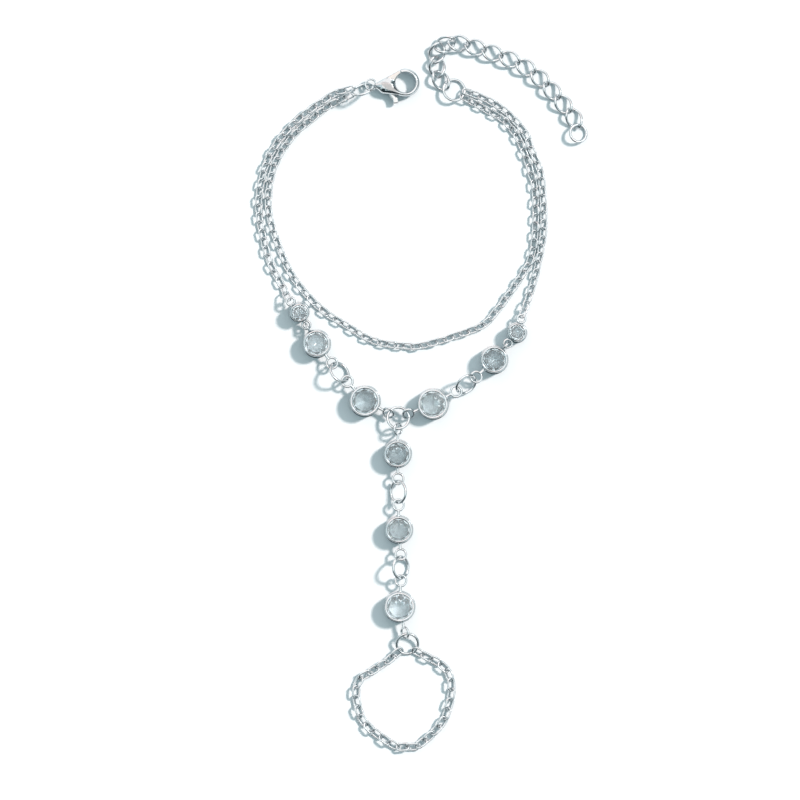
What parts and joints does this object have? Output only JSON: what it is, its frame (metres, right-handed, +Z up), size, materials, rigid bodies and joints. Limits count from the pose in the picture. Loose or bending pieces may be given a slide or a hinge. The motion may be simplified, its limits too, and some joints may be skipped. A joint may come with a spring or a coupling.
{
  "type": "hand chain bracelet",
  "caption": "Hand chain bracelet lying flat: a two-strand wrist chain, round clear stones in open-backed settings, a finger loop of chain, a lobster clasp and an extender.",
  "frame": {"origin": "middle of the wrist loop, on the surface that the bracelet lies on", "axes": "+Z up out of the surface, through the stones' tables; +Y from the finger loop to the clasp; +X to the side with the extender"},
  "size_m": [0.0737, 0.159, 0.0048],
  "materials": {
    "silver": "polished, silver-coloured plating",
    "stone": "faceted clear grey-blue glass"
  },
  "bodies": {
    "bracelet": {"clasp_body": "silver", "clasp_ring": "silver", "extender_ring": "silver", "extender_end_ring": "silver", "extender_link_1": "silver", "extender_link_2": "silver", "extender_link_3": "silver", "extender_link_4": "silver", "extender_link_5": "silver", "extender_link_6": "silver", "extender_link_7": "silver", "extender_link_8": "silver", "extender_link_9": "silver", "extender_link_10": "silver", "extender_link_11": "silver", "extender_link_12": "silver", "extender_link_13": "silver", "inner_strand": "silver", "outer_strand_left": "silver", "outer_strand_right": "silver", "finger_chain": "silver", "setting_1": "silver", "setting_2": "silver", "setting_3": "silver", "setting_4": "silver", "setting_5": "silver", "setting_6": "silver", "setting_7": "silver", "setting_8": "silver", "setting_9": "silver", "ring_left": "silver", "ring_right": "silver", "ring_drop_upper": "silver", "ring_drop_lower": "silver", "ring_centre": "silver", "finger_ring": "silver", "stone_1": "stone", "stone_2": "stone", "stone_3": "stone", "stone_4": "stone", "stone_5": "stone", "stone_6": "stone", "stone_7": "stone", "stone_8": "stone", "stone_9": "stone"},
    "lever": {"clasp_lever": "silver"}
  },
  "joints": [
    {"name": "clasp_lever_hinge", "type": "hinge", "parent": "bracelet", "child": "lever", "pos_m": [-0.00285, 0.02819, 0.0013], "axis": [0, 0, -1], "range_deg": [0, 22], "stiffness_Nm_per_rad": 0.002, "springref_deg": -17.19}
  ]
}
